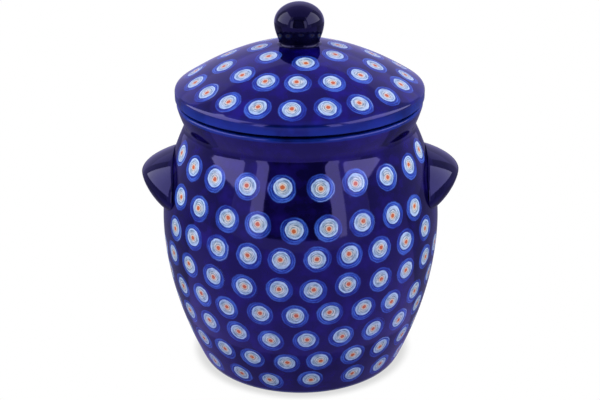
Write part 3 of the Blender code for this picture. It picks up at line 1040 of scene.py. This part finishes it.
def add_lamp(name, side):
    """A soft lamp beside the jar, as bright as its level says. It lights, and the window card
    there is what the glaze mirrors."""
    lamp = bpy.data.lights.new(name, 'AREA')
    lamp.shape = 'RECTANGLE'
    lamp.size = LAMP_ENDS[1] - LAMP_ENDS[0]
    lamp.size_y = LAMP_HEIGHTS[1] - LAMP_HEIGHTS[0]
    lamp.energy = LAMP_LIGHT * math.pi * lamp.size * lamp.size_y
    lamp_object = bpy.data.objects.new(name, lamp)
    lamp_object.location = (side * LAMP_SIDE, sum(LAMP_ENDS) / 2, sum(LAMP_HEIGHTS) / 2)
    lamp_object.rotation_euler = Vector((-side, 0, 0)).to_track_quat('-Z', 'Y').to_euler()
    lamp_object.visible_glossy = False
    bpy.context.scene.collection.objects.link(lamp_object)


def seen(tree):
    """1 for what the camera sees, straight, in the gloss or through glass, and 0 for light that
    is passed on."""
    path = node(tree, "LightPath").outputs
    straight_or_gloss = calc(tree, 'ADD', path["Is Camera Ray"], path["Is Glossy Ray"], clamp=True)
    return calc(tree, 'ADD', straight_or_gloss, path["Is Transmission Ray"], clamp=True)


def floor_shader(tree):
    """White to look at, with the jar's soft shadow, and plain grey for the light it passes on."""
    plain = node(tree, "BsdfDiffuse", {"Color": FLOOR_COLOUR}).outputs[0]
    occlusion = node(tree, "AmbientOcclusion", {"Distance": SHADOW_REACH}, samples=SHADOW_SAMPLES)
    clear = soft_step(tree, occlusion.outputs["AO"], *SHADOW_RANGE)
    white = calc(tree, 'MULTIPLY_ADD', clear, SHADOW_DEPTH, 1.0 - SHADOW_DEPTH)
    return node(tree, "MixShader", {0: seen(tree), 1: plain, 2: glow(tree, white)}).outputs[0]


def light_studio():
    """Soft lamps and their mirrored windows at both sides, strips beside the dark opening that
    the camera looks through, walls, a ceiling and haze over the floor, all for the gloss, and
    a pale floor and world."""
    for side, word, window, strip in (
        (-1, "left", LEFT_WINDOW, LEFT_STRIP), (1, "right", RIGHT_WINDOW, RIGHT_STRIP),
    ):
        add_lamp(f"lamp_{word}", side)
        add_card(f"window_{word}", facing_side(side * LAMP_SIDE, *window), WINDOW_LIGHT)
        add_card(f"strip_{word}", [(x, FRONT + STRIP_LEAD, z) for x, z in strip], STRIP_LIGHT)

    low, high = (0, OPENING_HEIGHTS[1]), (OPENING_HEIGHTS[1], CEILING_HEIGHT)
    for name, y, ends, heights, light, tone in (
        ("opening", FRONT, OPENING_ENDS, OPENING_HEIGHTS, OPENING_LIGHT, WHITE),
        ("front_wall", FRONT - FRONT_WALL_LAG, WALL_ENDS, low, FRONT_WALL_LIGHT, WALL_TONE),
        ("upper_front", FRONT, UPPER_FRONT_ENDS, high, UPPER_FRONT_LIGHT, HAZE),
    ):
        add_card(name, facing_front(y, ends, heights), light, tone)
    add_card("ceiling", level_at(CEILING_HEIGHT, CEILING_REACH, FRONT), HAZE_LIGHT, HAZE)
    for name, radii, angles, light, tone, shader in (
        ("floor_near", NEAR_RING, FRONT_HALF, NEAR_HAZE_LIGHT, HAZE, fading_glow),
        ("floor_front", OUTER_RING, FRONT_HALF, HAZE_LIGHT, HAZE, fading_glow),
        ("floor_back", WHOLE_RING, BACK_HALF, FLOOR_BACK_LIGHT, WALL_TONE, mirrored_glow),
    ):
        points, faces = half_ring(radii, angles)
        add_card(name, points, light, tone, faces, shader)
    for name, x in (("wall_left", WALL_ENDS[0]), ("wall_right", WALL_ENDS[1])):
        wall = facing_side(x, (FRONT, WALL_BACK), (0, CEILING_HEIGHT))
        add_card(name, wall, WALL_LIGHT, WALL_TONE)
    for name, heights, light in (
        ("back_low", (0, BACK_JOINT), BACK_LIGHT),
        ("back_high", (BACK_JOINT, CEILING_HEIGHT), HIGH_BACK_LIGHT),
    ):
        add_card(name, facing_front(WALL_BACK, WALL_ENDS, heights), light, WALL_TONE)

    floor = level_at(0, FLOOR_REACH, -FLOOR_REACH)
    flat_stage("floor", floor, [(0, 1, 2, 3)], floor_shader)

    world = bpy.data.worlds.new("studio")
    world.use_nodes = True
    tree = world.node_tree
    tree.nodes.clear()
    ambient = node(tree, "Background", {"Color": WHITE, "Strength": AMBIENT_LIGHT}).outputs[0]
    white = node(tree, "Background", {"Color": WHITE, "Strength": 1.0}).outputs[0]
    mixed = node(tree, "MixShader", {0: seen(tree), 1: ambient, 2: white}).outputs[0]
    node(tree, "OutputWorld", {"Surface": mixed})
    bpy.context.scene.world = world


# Camera, fitted to the photograph. Sensor and lens are in millimetres.
CAMERA_TARGET = Vector((-0.35 * MM, 0, 107.9 * MM))
CAMERA_DISTANCE = 0.804
CAMERA_ELEVATION = math.radians(22.9)
CAMERA_ROLL = math.radians(-0.45)
CAMERA_SENSOR = 36
CAMERA_LENS = 72


def add_camera():
    data = bpy.data.cameras.new("camera")
    data.sensor_width = CAMERA_SENSOR
    data.lens = CAMERA_LENS
    camera = bpy.data.objects.new("camera", data)
    back = Vector((0, -math.cos(CAMERA_ELEVATION), math.sin(CAMERA_ELEVATION)))
    roll = Quaternion((0, 0, 1), CAMERA_ROLL)
    camera.location = CAMERA_TARGET + back * CAMERA_DISTANCE
    camera.rotation_mode = 'QUATERNION'
    camera.rotation_quaternion = (-back).to_track_quat('-Z', 'Y') @ roll
    bpy.context.scene.collection.objects.link(camera)
    bpy.context.scene.camera = camera


def main():
    add_camera()
    light_studio()
    bpy.context.scene.view_settings.view_transform = 'Standard'

    inside = {"lining": lining_glaze("lining_glaze"), "bare": bare_clay("bare_clay")}
    body_glaze = cobalt_glaze("body_glaze", BODY_COBALT, COBALT_TINT, BODY_EYES)
    lid_glaze = cobalt_glaze("lid_glaze", LID_COBALT, COBALT_TINT, LID_EYES_PAINTED_SHADE)
    lug_glaze = cobalt_glaze("lug_glaze", LUG_COBALT, LUG_TINT)
    knob_glaze = cobalt_glaze("knob_glaze", LUG_COBALT, KNOB_TINT)

    add_piece("jar_glazed", turned(jar_outline(), TURN_STEPS), {"glaze": body_glaze, **inside},
              "jar", "jar_body", body_dots())
    add_piece("lid_glazed", turned(lid_outline(), TURN_STEPS), {"glaze": lid_glaze, **inside},
              "lid", "lid", lid_dots())
    add_piece("knob_glazed", turned(knob_outline(), KNOB_TURN_STEPS), {"glaze": knob_glaze},
              "lid", "lid_knob")
    add_piece("lug_right_glazed", lug_shape(1), {"glaze": lug_glaze},
              "jar", "handle_right")
    add_piece("lug_left_glazed", lug_shape(-1), {"glaze": lug_glaze},
              "jar", "handle_left")


main()
